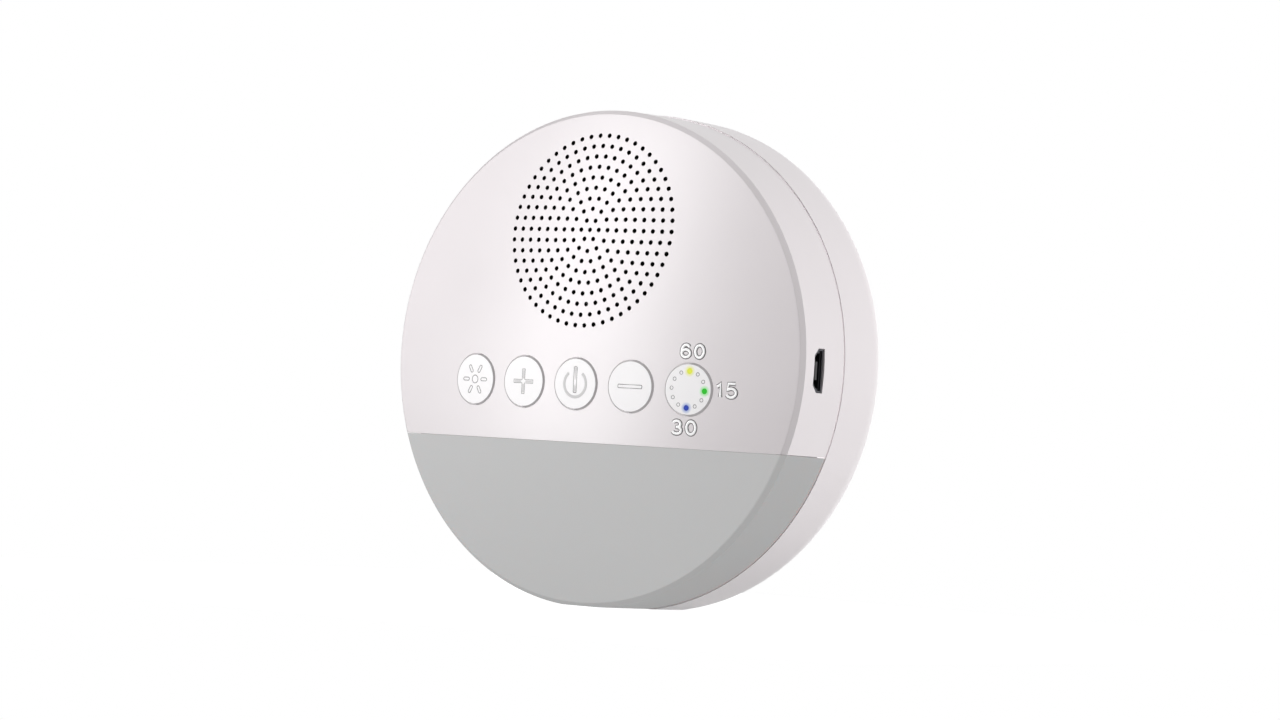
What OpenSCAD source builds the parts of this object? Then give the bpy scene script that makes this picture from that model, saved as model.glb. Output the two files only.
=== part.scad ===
// Round bedside white noise machine: a drum that stands on a small flat,
// with a speaker behind a drilled grille, five push keys and a night light.
//
// Units are millimetres. +X is right, +Z is up and the domed front faces -Y.
// The origin is on the surface the drum stands on, under the middle of its depth.
// Most modules work in the drum's own frame: the drum's axis runs along +Y, and
// y = 0 is the front rim. in_drum() puts that frame in its place.

/* [Drum] */
// Diameter of the rear cover
drum_d = 100; // [96:0.5:112]
// How much smaller the front rim's radius is than the cover's
rim_inset = 0.5; // [0.2:0.1:1.2]
// How much smaller the front shell's radius is than the cover's at the seam
seam_inset = 0.2; // [0:0.05:0.4]
// Depth of the front shell's side, from rim to seam
shell_depth = 13.2; // [12:0.1:16]
// Gap that shows as the seam line
seam_gap = 0.05; // [0.05:0.05:0.5]
// Depth of the rear cover, from seam to back
cover_depth = 17.4; // [16:0.1:24]
// Radius of the rounded edge at the back
back_round = 7; // [4:0.5:9]
// Spherical radius of the domed front
dome_radius = 220; // [200:2:320]
// Rounding between the dome and the rim's chamfer
rim_round = 0.5; // [0.4:0.1:1.4]
// Length of the rim's chamfer
rim_chamfer = 1.2; // [0.8:0.1:1.8]
// Wall of all three housing mouldings
wall = 2; // [1.6:0.1:2.4]
// Height of the flat above the drum's lowest point
foot_cut = 0.7; // [0.6:0.1:2]

// Gap between mouldings that fit into each other
fit_gap = 0.1; // [0.05:0.05:0.2]
// Thickness of the lips that lap inside a neighbour
lap_t = 1.1; // [0.8:0.1:1.3]
// How far the front half's lip enters the rear cover
lip_len = 2.2; // [1.5:0.1:3]

/* [Grille] */
// Spacing between rings of holes
grille_pitch = 2.12; // [1.9:0.02:2.2]
// Rings of holes around the centre hole
grille_rings = 9; // [5:1:9]
// Diameter of each hole
grille_hole_d = 0.95; // [0.6:0.05:1.2]

/* [Keys] */
// Diameter of a key
key_d = 9.9; // [8:0.1:10.4]
// Spacing of the five keys
key_pitch = 13; // [12.4:0.1:14]
// Gap between the keys' rims and the speaker's seat above them
key_seat_gap = 2.1; // [1.6:0.1:2.6]
// How far a key stands out of the dome
key_proud = 0.3; // [0.2:0.1:1.8]
// Gap around a key in its hole
key_gap = 0.35; // [0.15:0.05:0.4]
// Thickness of a key's face
key_face_t = 1.4; // [1:0.1:1.8]
// Width of the rim that keeps a key behind the dome
key_rim_w = 0.7; // [0.4:0.1:0.9]
// Travel of a key
key_travel = 0.35; // [0.2:0.05:0.5]
// Diameter of a lamp window in the timer key
window_d = 1.1; // [0.8:0.1:1.4]
// Radius of the ring that the lamp windows lie on
window_ring_r = 3.6; // [3.6:0.05:3.8]

/* [Night light] */
// From the middle of the keys down to the diffuser's top edge
key_light_gap = 11.5; // [11.4:0.1:13]
// Height of the lip that laps behind the front shell
lap_h = 2.6; // [1.6:0.1:2.8]
// Width of the lamp board
light_board_w = 44; // [40:1:46]
// Height of the lamp board
light_board_h = 12; // [10:0.5:14]
// Lamps on the board
light_leds = 6; // [1:1:6]

/* [Speaker] */
// Outer diameter of the speaker's flange
speaker_d = 42; // [41:0.2:43]
// Gap between the flange and the side wall above it
speaker_wall_gap = 0.6; // [0.4:0.1:1.2]
// Depth of the speaker behind its flange
speaker_depth = 16.5; // [15.5:0.5:18]
// Diameter of the magnet ring
magnet_d = 26; // [22:0.5:28]
// Diameter of the voice coil's former
coil_d = 12; // [11:0.5:13]
// Travel of the cone each way
cone_travel = 0.8; // [0.4:0.1:1]

/* [Electronics] */
// Thickness of the circuit boards
board_t = 1.2; // [1:0.1:1.6]
// Distance from the rim back to the front face of the main board
board_front = 1.9; // [1.7:0.1:2.2]
// Height of a push switch, from the board to the tip of its plunger
switch_h = 3.5; // [3.2:0.1:3.6]
// Side of a push switch
switch_w = 6; // [5.6:0.1:6.2]
// Width of the charging port's cut-out
port_w = 8.6; // [8.4:0.1:10]
// Height of the charging port's cut-out
port_h = 3.5; // [3.2:0.1:3.8]
// How far the port's middle lies below the drum's axis
port_drop = 0.35; // [0:0.05:0.6]
// Diameter of the battery cell
cell_d = 18; // [14:0.5:18.5]
// Length of the battery cell
cell_len = 65; // [50:1:66]

/* [Fasteners] */
// Thread diameter of the case screws
case_screw_d = 2.6; // [2:0.1:3]
// Thread diameter of the small screws
small_screw_d = 2; // [1.6:0.1:2.2]
// Length of the small screws
small_screw_len = 4.6; // [4:0.1:4.8]
// Length of the case screws
case_screw_len = 9.7; // [8:0.1:10]
// Thickness of the plastic around a screw
boss_wall = 1.6; // [1.2:0.1:2]

/* [Hidden] */
$fn = 64;
// How far a cut runs past the face it opens.
over = 1;

// The drum.
drum_r = drum_d / 2;
rim_r = drum_r - rim_inset;
seam_r = drum_r - seam_inset;
back_y = shell_depth + seam_gap + cover_depth;
cover_y = shell_depth + seam_gap;
foot_z = foot_cut - drum_r;
lip_r = drum_r - wall - fit_gap;
inner_r = lip_r - lap_t;
cover_floor_z = foot_z + wall;
front_floor_z = cover_floor_z + fit_gap + lap_t;
back_in_y = back_y - wall;

// The rim, outwards from the dome, as [radius, y]: the dome runs into a rounding
// without a corner, the rounding into a chamfer, and the chamfer meets the side.
rim_turn = 50;
rim_out = [sin(rim_turn), -cos(rim_turn)];
chamfer_in = [rim_r, 0] - rim_chamfer * [cos(rim_turn), sin(rim_turn)];
round_at = chamfer_in - rim_round * rim_out;
dome_y = round_at[1] + sqrt(pow(dome_radius - rim_round, 2) - pow(round_at[0], 2));
dome_at_rim = [round_at[0], round_at[1] - dome_y] * dome_radius / (dome_radius - rim_round);
apex_y = dome_y - dome_radius;

// Where a sphere around the dome's centre crosses a line along the drum's axis.
function dome_at(radius, x, z) = dome_y - sqrt(radius * radius - x * x - z * z);
function dome_in(x, z) = dome_at(dome_radius - wall, x, z);

// Down the front: the speaker, the keys below its seat and the diffuser below them.
speaker_r = speaker_d / 2;
seat_gap = 0.15;
seat_wall = 1.4;
seat_out_r = speaker_r + seat_gap + seat_wall;
grille_rise = inner_r - speaker_wall_gap - speaker_r;
key_r = key_d / 2;
key_hole_r = key_r + key_gap;
key_rim_r = key_hole_r + key_rim_w;
key_z = grille_rise - seat_out_r - key_seat_gap - key_rim_r;
light_z = key_z - key_light_gap;

// The drum's frame inside the part's frame.
key_top_y = dome_at(dome_radius + key_proud, 0, min(0, key_z + key_r));
drum_y = -(back_y + min(key_top_y, apex_y)) / 2;

// The keys.
KEYS = [-2, -1, 0, 1, 2];
key_play = 0.1;
key_rim_t = 0.9;
key_wall = 1.2;
key_post_r = 1.5;
key_well_gap = 0.5;
plunger_r = 1.75;
plunger_gap = 0.1;
plunger_out = 1;
plunger_in = 1.5;
tip_y = board_front - switch_h;
plunger_back_y = tip_y + plunger_out + plunger_in;
case_h = switch_h - plunger_out;
cover_t = 0.3;
window_turns = [87, -3, -93];

// The speaker, from its seat on the front shell backwards.
grille_margin = 0.4;
seat_in_r = grille_pitch * grille_rings + grille_hole_d / 2 + grille_margin;
seat_least_t = 0.6;
seat_y = max(1.3, dome_in(0, grille_rise + speaker_r) + seat_least_t);
cloth_t = 0.3;
gasket_t = cone_travel + 0.2;
skin = 0.3;
flange_y = seat_y + cloth_t + gasket_t + skin;
flange_t = 1;
flange_w = 2.2;
roll_w = 3;
surround_out_r = speaker_r - flange_w;
cone_edge_r = surround_out_r - roll_w;
edge_gap = 0.1;
trim_r = speaker_r - 0.2;
basket_back = 8;
top_plate_t = 1.5;
magnet_r = magnet_d / 2;
plate_r = magnet_r - 1;
yoke_t = 2;
magnet_y = flange_y + basket_back + flange_t + top_plate_t;
yoke_y = flange_y + speaker_depth - yoke_t;
coil_r = coil_d / 2;
coil_t = 0.3;
coil_gap = 0.3;
hang_gap = 0.3;
pole_r = coil_r - coil_gap;
gap_r = coil_r + 2 * coil_t + coil_gap;
cone_rise = 0.3;
neck_depth = 5;
former_end = basket_back + 4;
winding_len = 2.4;
speaker_boss_r = small_screw_d / 2 + 1.1;
speaker_boss_at = speaker_r + seat_gap + speaker_boss_r + 0.1;
SPEAKER_BOSSES = [30, 150, 210, 330];
flange_back = flange_y + flange_t;
lug_x = 2;
terminal_drop = 4.6;

// The partition that keeps the lamps' light out of the upper half.
web_t = 1.5;
web_gap = 0.4;
web_z = light_z + lap_h + web_gap + web_t / 2;
web_end_y = shell_depth - 3;

// The main board and what stands on it.
board_back = board_front + board_t;
board_edge_gap = 0.8;
board_web_gap = 0.3;
board_low_z = web_z + web_t / 2 + board_web_gap;
board_seat_gap = 0.85;
board_top_z = grille_rise - seat_out_r - board_seat_gap;
board_end_w = 8.5;
board_half = 2 * key_pitch + key_rim_r + board_end_w;
board_tab_x = board_half - 7;
board_tab_z = port_w / 2 + 4;
board_boss_r = small_screw_d / 2 + boss_wall;
BOARD_SCREWS = [
    [-board_half + board_boss_r + 0.6, key_z],
    [board_tab_x + board_boss_r, board_tab_z - board_boss_r],
    [board_tab_x + 0.4, board_low_z + board_boss_r - 0.2]];
small_hole = small_screw_len + 0.4;
small_head_r = small_screw_d * 0.9;
small_head_h = small_screw_d * 0.6;
screw_hole_gap = 0.15;
controller = [10, 1.6, 4];
controller_x = 4;
amplifier = [5, 1.6, 4];
amplifier_x = 22;
memory = [5, 1.6, 4];
memory_x = -19;
thread_gap = 0.05;

// The charging socket lies on the back of the board, its narrow side to the board.
socket_w = port_w - 1.2;
socket_h = port_h - 0.4;
port_y = board_back + socket_h / 2;
port_z = -port_drop;
port_chamfer = port_h * 0.4;
socket_len = 5.4;
socket_t = 0.3;
socket_back_t = 0.8;
socket_mouth = rim_r - 0.25;
mouth_play = 0.1;
mouth_rim = 0.3;
mouth_len = 1;
flare_len = 0.5;
tongue_t = 0.7;
contact_t = 0.15;

// The battery lies across the back, in two saddles of the rear cover.
cell_r = cell_d / 2;
sleeve_t = 0.2;
pad_t = 0.5;
cell_y = back_in_y - pad_t - sleeve_t - cell_r;
cell_z = board_low_z + 0.5 * (board_top_z - board_low_z);
saddle_t = 2;
saddle_rise = 3;
saddle_x = cell_len / 2 - 8;
tab_t = 0.3;
guard_t = 0.8;

// The lamp board stands on two posts of the rear cover, below the partition and as
// low as its corners fit inside the wall.
lamp_y = shell_depth - 3.4;
lamp_wall_gap = 1.2;
lamp_low_z = -sqrt(pow(inner_r - lamp_wall_gap, 2) - pow(light_board_w / 2, 2));
lamp_z = lamp_low_z + light_board_h / 2;
lamp_post_x = light_board_w / 2 - 4;
lamp_post_r = small_screw_d / 2 + boss_wall;
led_w = 3.5;
led_h = 2.8;
led_t = 1.4;

// The case screws: two into the front shell, two into the diffuser.
case_boss_r = case_screw_d / 2 + boss_wall;
case_head_r = case_screw_d * 0.85;
case_head_h = 1.6;
case_sink_r = case_head_r + 0.3;
case_meet_y = shell_depth - 0.5;
case_floor_t = 2.2;
case_hole = case_screw_len - case_floor_t + 0.5;
case_post_r = case_sink_r + boss_wall;
case_post_at = inner_r - case_post_r - 0.4;
upper_boss_z = 20;
upper_boss_x = sqrt(pow(case_post_at, 2) - pow(upper_boss_z, 2)) - 1;
lower_boss_x = light_board_w / 2 + case_post_r + 0.7;
lower_boss_z = -sqrt(pow(case_post_at, 2) - pow(lower_boss_x, 2));
CASE_BOSSES = [
    [-upper_boss_x, upper_boss_z], [upper_boss_x, upper_boss_z],
    [-lower_boss_x, lower_boss_z], [lower_boss_x, lower_boss_z]];

// The lead sockets on the board, the plugs in them and the leads.
socket_size = [6, 3.4, 5];
socket_in = [4.8, 2.2, 4];
socket_top_z = board_top_z - 0.4;
socket_at = [-9, -26];
plug_y = board_back + socket_size[1] / 2;
plug_up = 1.6;
plug_top = [plug_y, socket_top_z + plug_up];
lead_d = 1.1;
lead_gap = 1.5;
lead_steps = 12;
lead_straight = 0.8;
strip = [7, 1, 4];
lug = [1.6, 1.1, 2.4];
lug_y = flange_y + basket_back + flange_t + strip[1] / 2 + lug[1];
lug_z = grille_rise - magnet_r - terminal_drop + strip[2] / 2;

// How the leads bow between their ends: for each, the two middle corners of its
// curve as [back, up] from the end that they follow.
speaker_bow = [[3, 5], [6, -4]];
battery_bow = [[4, 9], [-5, 8]];
battery_bow_out = 9;
lamp_bow = [[2.4, 3.6], [5, -8]];
lamp_pad = [14, 1.8];
lamp_land_z = lamp_z + 4;
lamp_side = [4, 6];

// ---- Helpers ----

// Puts the drum's frame in its place.
module in_drum() {
    translate([0, drum_y, -foot_z]) children();
}

// Turns a shape that stands on z = 0 so that it points to the back from y.
module facing_back(x, z, y) {
    translate([x, y, z]) rotate([-90, 0, 0]) children();
}

// A round bar along the drum's axis.
module bar(radius, from_y, to_y, x = 0, z = 0) {
    facing_back(x, z, from_y) cylinder(r = radius, h = to_y - from_y);
}

// A round tube along the drum's axis.
module tube(out_r, in_r, from_y, to_y, x = 0, z = 0) {
    facing_back(x, z, from_y) difference() {
        cylinder(r = out_r, h = to_y - from_y);
        translate([0, 0, -over]) cylinder(r = in_r, h = to_y - from_y + 2 * over);
    }
}

// A block given by its lowest and highest corners.
module block(low, high) {
    translate(low) cube(high - low);
}

// The front end of a ball around the dome's centre.
module dome_ball(radius) {
    facing_back(0, 0, 0) rotate_extrude($fn = 180) intersection() {
        translate([0, dome_y]) circle(r = radius, $fn = 720);
        translate([0, dome_y - radius - over]) square([drum_r + over, radius + over]);
    }
}

// A screw that points to the front: its head's seat is at y.
module screw(d, head_r, head_h, len, x, z, y) {
    bar(d / 2, y - len, y, x, z);
    facing_back(x, z, y) difference() {
        cylinder(r = head_r, h = head_h);
        for (turn = [0, 90])
            rotate([0, 0, turn]) translate([0, 0, head_h])
                cube([head_r * 1.2, head_r * 0.28, head_h * 1.1], center = true);
    }
}

// A tube swept along a route, for a lead.
function cross3(a, b) = [
    a[1] * b[2] - a[2] * b[1], a[2] * b[0] - a[0] * b[2], a[0] * b[1] - a[1] * b[0]];
function unit(v) = v / norm(v);
function heading(route, i) =
    unit(route[min(i + 1, len(route) - 1)] - route[max(i - 1, 0)]);
// A curve through four points, as a cubic of its corners.
function bend(p, t) =
    pow(1 - t, 3) * p[0] + 3 * pow(1 - t, 2) * t * p[1]
    + 3 * (1 - t) * t * t * p[2] + t * t * t * p[3];
function curve(p, steps) = [for (i = [0 : steps]) bend(p, i / steps)];
module lead(route, d) {
    sides = 6;
    side_of = [0.31, 0.47, 0.83];
    rings = [for (i = [0 : len(route) - 1])
        let (h = heading(route, i), u = unit(cross3(h, side_of)), v = cross3(h, u))
        [for (k = [0 : sides - 1])
            route[i] + d / 2 * (cos(360 * k / sides) * u + sin(360 * k / sides) * v)]];
    last = len(route) - 1;
    polyhedron(
        points = [for (r = rings) for (p = r) p],
        faces = concat(
            [[for (k = [0 : sides - 1]) k]],
            [for (i = [0 : last - 1]) for (k = [0 : sides - 1])
                let (a = i * sides + k, b = i * sides + (k + 1) % sides,
                    c = b + sides, d = a + sides)
                each [[a, d, c], [a, c, b]]],
            [[for (k = [sides - 1 : -1 : 0]) last * sides + k]]));
}

// ---- Housing ----

// The outside of the front half, as one solid: dome, chamfered rim and drafted side.
module front_form() {
    facing_back(0, 0, 0) rotate_extrude($fn = 180) {
        polygon([[0, 0], round_at, chamfer_in, [rim_r, 0], [seam_r, shell_depth],
            [0, shell_depth]]);
        translate(round_at) circle(r = rim_round);
        intersection() {
            translate([0, dome_y]) circle(r = dome_radius, $fn = 720);
            polygon([[0, 0], round_at, [dome_at_rim[0], dome_at_rim[1] + dome_y],
                [dome_at_rim[0], apex_y - over], [0, apex_y - over]]);
        }
    }
}

// The hollow inside the front half.
module front_hollow() {
    intersection() {
        bar(inner_r, apex_y, shell_depth + over);
        dome_ball(dome_radius - wall);
    }
}

// The lip along the front half's rear edge, which enters the rear cover.
module inner_lip() {
    difference() {
        intersection() {
            bar(lip_r, shell_depth - over, shell_depth + lip_len);
            above(cover_floor_z + fit_gap);
        }
        intersection() {
            bar(inner_r, shell_depth - 2 * over, shell_depth + lip_len + over);
            above(front_floor_z);
        }
    }
}

// Everything above a height, or below it, as a block around the drum.
module above(z) {
    block([-drum_r - over, apex_y - over, z],
        [drum_r + over, back_y + over, drum_r + over]);
}
module below(z) {
    block([-drum_r - over, apex_y - over, -drum_r - over],
        [drum_r + over, back_y + over, z]);
}

// The grille's holes: a centre hole and rings of 6, 12, 18 and so on.
module grille_holes() {
    for (ring = [0 : grille_rings], i = [0 : max(0, 6 * ring - 1)])
        let (turn = ring == 0 ? 0 : 60 * i / ring)
            bar(grille_hole_d / 2, apex_y - over, dome_in(0, grille_rise + seat_in_r) + over,
                grille_pitch * ring * cos(turn),
                grille_rise + grille_pitch * ring * sin(turn));
}

// The charging port's outline, narrow side to the front, as a bar along X.
module port_bar(w, h, chamfer, from_x, to_x) {
    translate([from_x, port_y, port_z]) rotate([90, 0, 90])
        linear_extrude(height = to_x - from_x)
            polygon([[-h / 2, -w / 2 + chamfer], [-h / 2 + chamfer, -w / 2],
                [h / 2, -w / 2], [h / 2, w / 2],
                [-h / 2 + chamfer, w / 2], [-h / 2, w / 2 - chamfer]]);
}

module front_shell() {
    color("whitesmoke") in_drum() difference() {
        union() {
            intersection() {
                difference() {
                    front_form();
                    front_hollow();
                }
                above(light_z);
            }
            intersection() {
                union() {
                    // The speaker's seat, with a rim that keeps it central.
                    tube(seat_out_r, seat_in_r,
                        apex_y, seat_y, 0, grille_rise);
                    tube(seat_out_r, speaker_r + seat_gap,
                        apex_y, flange_back, 0, grille_rise);
                    for (turn = SPEAKER_BOSSES)
                        bar(speaker_boss_r, apex_y, flange_back,
                            speaker_boss_at * cos(turn),
                            grille_rise + speaker_boss_at * sin(turn));
                    // Bosses for the main board.
                    for (p = BOARD_SCREWS)
                        bar(board_boss_r, apex_y, board_front, p[0], p[1]);
                    // Bosses for the upper case screws.
                    for (i = [0, 1])
                        bar(case_boss_r, apex_y, case_meet_y,
                            CASE_BOSSES[i][0], CASE_BOSSES[i][1]);
                    // The partition above the night light.
                    block([-drum_r, apex_y, web_z - web_t / 2],
                        [drum_r, web_end_y, web_z + web_t / 2]);
                }
                front_hollow();
            }
            intersection() {
                inner_lip();
                above(light_z);
            }
        }
        grille_holes();
        for (i = KEYS)
            bar(key_hole_r, apex_y - over, dome_in(i * key_pitch, key_z) + over,
                i * key_pitch, key_z);
        for (turn = SPEAKER_BOSSES)
            bar(small_screw_d / 2, flange_back - small_hole, flange_back + over,
                speaker_boss_at * cos(turn), grille_rise + speaker_boss_at * sin(turn));
        for (p = BOARD_SCREWS)
            bar(small_screw_d / 2, board_back - small_hole, board_front + over, p[0], p[1]);
        for (i = [0, 1])
            bar(case_screw_d / 2, case_meet_y - case_hole, case_meet_y + over,
                CASE_BOSSES[i][0], CASE_BOSSES[i][1]);
        port_bar(port_w, port_h, port_chamfer, inner_r - 3 * over, drum_r + over);
    }
}

// The diffuser: the lower part of the front half, with its own floor.
module light_diffuser() {
    top_z = light_z - fit_gap;
    lap_root = 0.5;
    color("silver") in_drum() difference() {
        union() {
            intersection() {
                difference() {
                    front_form();
                    intersection() {
                        front_hollow();
                        above(front_floor_z);
                    }
                }
                above(foot_z);
                below(top_z);
            }
            intersection() {
                inner_lip();
                below(top_z);
            }
            // The lip that laps behind the front shell, and its root.
            intersection() {
                difference() {
                    lap_form(fit_gap);
                    lap_form(fit_gap + lap_t);
                }
                bar(drum_r, apex_y, web_end_y);
                above(top_z - lap_h);
                below(top_z + lap_h);
            }
            intersection() {
                difference() {
                    lap_form(-lap_root);
                    lap_form(fit_gap + lap_t);
                }
                bar(drum_r, apex_y, web_end_y);
                above(top_z - lap_h);
                below(top_z);
            }
            // Bosses for the lower case screws.
            intersection() {
                for (i = [2, 3])
                    bar(case_boss_r, apex_y, case_meet_y,
                        CASE_BOSSES[i][0], CASE_BOSSES[i][1]);
                front_hollow();
                below(top_z);
            }
        }
        for (i = [2, 3])
            bar(case_screw_d / 2, case_meet_y - case_hole, case_meet_y + over,
                CASE_BOSSES[i][0], CASE_BOSSES[i][1]);
    }
}

// The hollow of the front half, drawn in by a distance all round.
module lap_form(inset) {
    intersection() {
        bar(inner_r - inset, apex_y - over, shell_depth + over);
        dome_ball(dome_radius - wall - inset);
    }
}

// The outside of the rear cover, drawn in by a distance.
module cover_form(inset) {
    corner_at = [drum_r - back_round, back_y - back_round];
    facing_back(0, 0, 0) rotate_extrude($fn = 180) {
        polygon([[0, cover_y - inset], [drum_r - inset, cover_y - inset],
            [drum_r - inset, corner_at[1]], [corner_at[0], back_y - inset],
            [0, back_y - inset]]);
        translate(corner_at) circle(r = back_round - inset);
    }
}

// The rear cover: a pan with four screw posts, two saddles for the battery
// and two posts for the lamp board.
module rear_cover() {
    color("whitesmoke") in_drum() difference() {
        union() {
            difference() {
                intersection() {
                    cover_form(0);
                    above(foot_z);
                }
                intersection() {
                    cover_form(wall);
                    above(cover_floor_z);
                }
            }
            for (p = CASE_BOSSES)
                bar(case_post_r, case_meet_y, back_y - wall / 2, p[0], p[1]);
            for (side = [-1, 1]) {
                bar(lamp_post_r, lamp_y + board_t, back_y - wall / 2,
                    side * lamp_post_x, lamp_z);
                block([side * saddle_x - saddle_t / 2, cell_y,
                        cell_z - cell_r - saddle_rise],
                    [side * saddle_x + saddle_t / 2, back_y - wall / 2,
                        cell_z + cell_r + saddle_rise]);
            }
        }
        translate([0, cell_y, cell_z]) rotate([0, 90, 0])
            cylinder(r = cell_r + sleeve_t + fit_gap, h = cell_len, center = true);
        for (side = [-1, 1])
            bar(small_screw_d / 2, lamp_y, lamp_y + small_hole, side * lamp_post_x, lamp_z);
        for (p = CASE_BOSSES) {
            bar(case_screw_d / 2 + screw_hole_gap, case_meet_y - over, back_y, p[0], p[1]);
            bar(case_sink_r, case_meet_y + case_floor_t, back_y + over, p[0], p[1]);
        }
    }
}

module case_screws() {
    color("dimgray") in_drum()
        for (p = CASE_BOSSES)
            screw(case_screw_d - 2 * thread_gap, case_head_r, case_head_h,
                case_screw_len, p[0], p[1], case_meet_y + case_floor_t);
}

// ---- Speaker ----

module at_speaker(y = 0) {
    in_drum() translate([0, y, grille_rise]) children();
}

module grille_cloth() {
    color("black") at_speaker() bar(trim_r, seat_y, seat_y + cloth_t);
}

module speaker_gasket() {
    color("dimgray") at_speaker()
        tube(trim_r, surround_out_r + edge_gap, seat_y + cloth_t, flange_y - skin);
}

// A pressed steel frame: flange, slanted side with four windows, a ring that
// carries the magnet and a tab for the terminals.
module speaker_basket() {
    hole_r = surround_out_r + edge_gap;
    ring_r = magnet_r - 0.4;
    ring_in_r = gap_r + 1.5;
    slant_t = 0.6;
    tab_w = 8;
    window_w = 8.4;
    color("silver") at_speaker(flange_y) difference() {
        union() {
            facing_back(0, 0, 0) rotate_extrude() {
                polygon([[hole_r, 0], [speaker_r, 0], [speaker_r, flange_t],
                    [hole_r, flange_t]]);
                polygon([[hole_r, flange_t / 2], [hole_r + 1, flange_t / 2],
                    [hole_r + 1, flange_t],
                    [ring_r, basket_back + flange_t], [ring_in_r, basket_back + flange_t],
                    [ring_in_r, basket_back], [ring_r - slant_t, basket_back]]);
            }
            block([-tab_w / 2, basket_back, -magnet_r - terminal_drop - 0.4],
                [tab_w / 2, basket_back + flange_t, -ring_r + 1]);
        }
        for (turn = [45 : 90 : 315])
            rotate([0, turn, 0])
                block([ring_r * 0.6, flange_t + 1.4, -window_w / 2],
                    [speaker_r, basket_back - 0.8, window_w / 2]);
    }
}

module speaker_top_plate() {
    color("gray") at_speaker()
        tube(plate_r, gap_r, magnet_y - top_plate_t, magnet_y);
}

module speaker_magnet() {
    color("#3a3a3c") at_speaker() tube(magnet_r, gap_r + 1.6, magnet_y, yoke_y);
}

// The back plate and the pole that stands in the coil.
module speaker_yoke() {
    color("gray") at_speaker() {
        bar(plate_r, yoke_y, yoke_y + yoke_t);
        bar(pole_r, magnet_y - top_plate_t, yoke_y + yoke_t / 2);
    }
}

// The corrugated cloth that centres the coil: rings of slanted pleats.
module speaker_spider() {
    in_r = coil_r + coil_t + hang_gap;
    out_r = plate_r - 0.6;
    pleats = 3;
    step = (out_r - in_r) / pleats;
    fold = 0.7;
    color("goldenrod") at_speaker(flange_y + basket_back)
        facing_back(0, 0, 0) rotate_extrude()
            for (i = [0 : pleats - 1])
                let (r = in_r + i * step)
                    polygon([[r, -skin], [r + step / 2, -skin - fold], [r + step, -skin],
                        [r + step, 0], [r + step / 2, -fold], [r, 0]]);
}

// The half roll between the cone and the flange, with the edge that is glued down.
module speaker_surround() {
    roll_r = roll_w / 2;
    mid_r = cone_edge_r + roll_r;
    color("#2b2b2d") at_speaker(flange_y) facing_back(0, 0, 0) rotate_extrude() {
        intersection() {
            translate([mid_r, 0]) difference() {
                circle(r = roll_r);
                circle(r = roll_r - skin);
            }
            translate([cone_edge_r, 0]) square([roll_w, roll_w]);
        }
        translate([surround_out_r - skin, -skin])
            square([trim_r - surround_out_r + skin, skin]);
    }
}

// The paper cone, with its neck around the coil's former.
module speaker_cone() {
    out_r = cone_edge_r - hang_gap;
    neck_r = coil_r + coil_t;
    color("#3c3c40") at_speaker(flange_y) facing_back(0, 0, 0) rotate_extrude()
        polygon([[out_r, 0], [out_r, skin], [out_r - 1, skin + cone_rise],
            [neck_r, neck_depth + skin], [neck_r, neck_depth], [out_r - 1, 0]]);
}

// The cap that closes the coil: a thin piece of a sphere.
module speaker_dust_cap() {
    cap_rise = 2;
    cap_r = coil_r + coil_t + 1;
    ball_r = (pow(cap_r, 2) + pow(cap_rise, 2)) / (2 * cap_rise);
    slope = neck_depth / (cone_edge_r - hang_gap - 1 - coil_r);
    base = neck_depth - slope - skin;
    color("#232326") at_speaker(flange_y + base)
        facing_back(0, 0, 0) rotate_extrude() intersection() {
            translate([0, ball_r - cap_rise]) difference() {
                circle(r = ball_r);
                circle(r = ball_r - skin);
            }
            translate([0, -cap_rise - over]) square([ball_r, cap_rise + over]);
        }
}

// The former and its winding.
module voice_coil() {
    color("#b5651d") at_speaker(flange_y) {
        tube(coil_r + coil_t, coil_r, neck_depth, former_end);
        tube(coil_r + 2 * coil_t, coil_r + coil_t / 2,
            basket_back + flange_t, basket_back + flange_t + winding_len);
    }
}

module speaker_terminals() {
    color("#8b5a2b") at_speaker(flange_y + basket_back + flange_t)
        translate([0, 0, -magnet_r - terminal_drop]) {
            translate([-strip[0] / 2, 0, 0]) cube(strip);
            for (side = [-1, 1])
                translate([side * lug_x - lug[0] / 2, strip[1] / 2, (strip[2] - lug[2]) / 2])
                    cube(lug);
        }
}

module speaker_screws() {
    color("dimgray") at_speaker()
        for (turn = SPEAKER_BOSSES)
            screw(small_screw_d - 2 * thread_gap, speaker_boss_r + 1.1, small_head_h,
                small_screw_len, speaker_boss_at * cos(turn),
                speaker_boss_at * sin(turn), flange_back);
}

// ---- Keys ----

// A key cap: a face that follows the dome, a skirt, a rim that stops it behind
// the dome and a post that rests on the switch.
module key_cap(i) {
    x = i * key_pitch;
    rim_back = dome_in(x, key_z) + key_play + key_rim_t;
    face_back = dome_at(dome_radius + key_proud, x, key_z) + key_face_t;
    color("white") in_drum() difference() {
        union() {
            intersection() {
                bar(key_r, apex_y - key_proud - over, rim_back, x, key_z);
                dome_ball(dome_radius + key_proud);
            }
            intersection() {
                bar(key_rim_r, apex_y - over, rim_back, x, key_z);
                dome_ball(dome_radius - wall - key_play);
            }
        }
        difference() {
            bar(key_r - key_wall, face_back, rim_back + over, x, key_z);
            bar(key_post_r, face_back - over, tip_y, x, key_z);
        }
        bar(key_post_r + key_well_gap, tip_y, rim_back + 2 * over, x, key_z);
        if (i == 2)
            for (turn = window_turns)
                bar(window_d / 2, apex_y - key_proud - over, rim_back + over,
                    x + window_ring_r * cos(turn), key_z + window_ring_r * sin(turn));
    }
    if (tip_y > rim_back)
        color("white") in_drum() bar(key_post_r, face_back, tip_y, x, key_z);
}
module light_key() {
    key_cap(-2);
}
module volume_up_key() {
    key_cap(-1);
}
module power_key() {
    key_cap(0);
}
module volume_down_key() {
    key_cap(1);
}
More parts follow.
